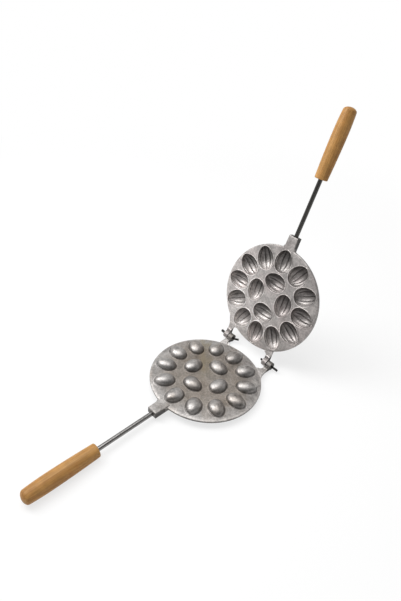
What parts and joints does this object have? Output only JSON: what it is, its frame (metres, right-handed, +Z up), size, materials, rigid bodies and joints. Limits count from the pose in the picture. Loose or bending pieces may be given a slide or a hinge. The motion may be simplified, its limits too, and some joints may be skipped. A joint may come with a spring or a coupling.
{
  "type": "walnut cake mould",
  "caption": "Hinged cast plates that bake walnut-shaped half shells, one with bumps and one with ribbed cavities, each on a steel rod with a wooden grip.",
  "frame": {"origin": "centre of the bounding box's bottom, on the surface that the mould lies on", "axes": "+Z up; the lower handle points along -Y and the hinge axis runs along X; the upper half stands open at the +Y side"},
  "size_m": [0.1996, 0.6528, 0.4424],
  "materials": {
    "lower_plate": "cast, dull, lightly stained",
    "upper_plate": "cast, dull",
    "lower_rod": "dark, drawn",
    "upper_rod": "dark, drawn",
    "lower_grip": "turned, varnished",
    "upper_grip": "turned, varnished",
    "left_split_pin": "blackened",
    "right_split_pin": "blackened"
  },
  "bodies": {
    "lower_half": {"lower_plate": "lower_plate", "lower_rod": "lower_rod", "lower_grip": "lower_grip", "left_split_pin": "left_split_pin", "right_split_pin": "right_split_pin"},
    "upper_half": {"upper_plate": "upper_plate", "upper_rod": "upper_rod", "upper_grip": "upper_grip"}
  },
  "joints": [
    {"name": "hinge", "type": "hinge", "parent": "lower_half", "child": "upper_half", "pos_m": [0, 0.14178, 0.00739], "axis": [1, 0, 0], "range_deg": [0, 107.3]}
  ]
}
